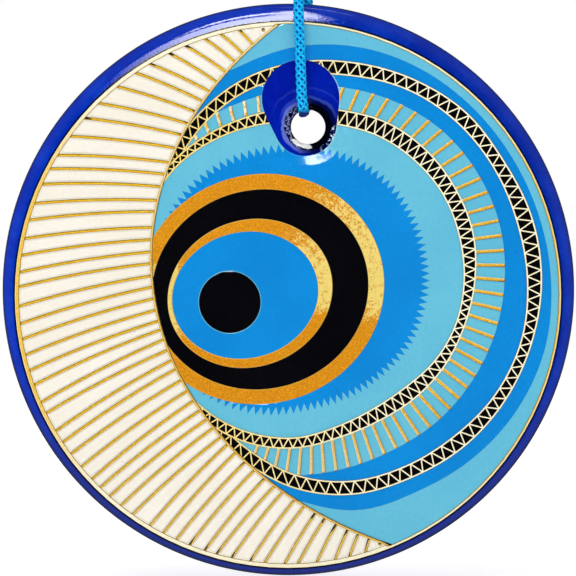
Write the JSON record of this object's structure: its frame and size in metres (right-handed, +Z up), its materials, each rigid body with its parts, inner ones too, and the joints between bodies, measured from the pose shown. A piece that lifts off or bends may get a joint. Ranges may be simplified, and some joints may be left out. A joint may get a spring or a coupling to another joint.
{
  "type": "evil eye ornament",
  "caption": "Round cobalt glass wall ornament with coloured enamel eye bands and raised gold lines, hung through a hole on a knotted cord loop.",
  "frame": {"origin": "top inside of the hanging loop, where a nail or hook carries the ornament", "axes": "+Z up along the cord; -Y is the decorated front, +Y the plain back; +X to the viewer's right"},
  "size_m": [0.13, 0.0121, 0.1875],
  "materials": {
    "cobalt_glass": "polished",
    "off_white_enamel": "gloss",
    "cream_enamel": "gloss",
    "sky_enamel": "gloss",
    "azure_enamel": "gloss",
    "black_enamel": "gloss",
    "gold_foil": "fine grain",
    "cyan_cord": "braided"
  },
  "bodies": {
    "loop": {"hanging_loop": "cyan_cord"},
    "cord": {"cord_knot": "cyan_cord", "cord_tails": "cyan_cord", "cord_front_strand": "cyan_cord", "cord_back_strand": "cyan_cord"},
    "ornament": {"glass_disc": "cobalt_glass", "crescent_ground": "off_white_enamel", "cream_cells": "cream_enamel", "crescent_fins": "gold_foil", "crescent_rail": "gold_foil", "gold_border": "gold_foil", "sky_outer_band": "sky_enamel", "azure_outer_band": "azure_enamel", "black_outer_lace": "black_enamel", "gold_outer_lace": "gold_foil", "azure_middle_band": "azure_enamel", "sky_brick_band": "sky_enamel", "gold_brick_bars": "gold_foil", "black_inner_lace": "black_enamel", "gold_inner_lace": "gold_foil", "sky_wide_band": "sky_enamel", "azure_sawtooth_field": "azure_enamel", "gold_outer_ring": "gold_foil", "black_ring": "black_enamel", "gold_inner_ring": "gold_foil", "azure_iris": "azure_enamel", "pupil_hairline": "sky_enamel", "black_pupil": "black_enamel"}
  },
  "joints": [
    {"name": "cord_twist", "type": "hinge", "parent": "loop", "child": "cord", "pos_m": [0, 0, -0.032], "axis": [0, 0, 1], "range_deg": [-90, 90]},
    {"name": "disc_swing", "type": "hinge", "parent": "cord", "child": "ornament", "pos_m": [0.0013, 0, -0.083], "axis": [0, 1, 0], "range_deg": [-40, 40]}
  ]
}
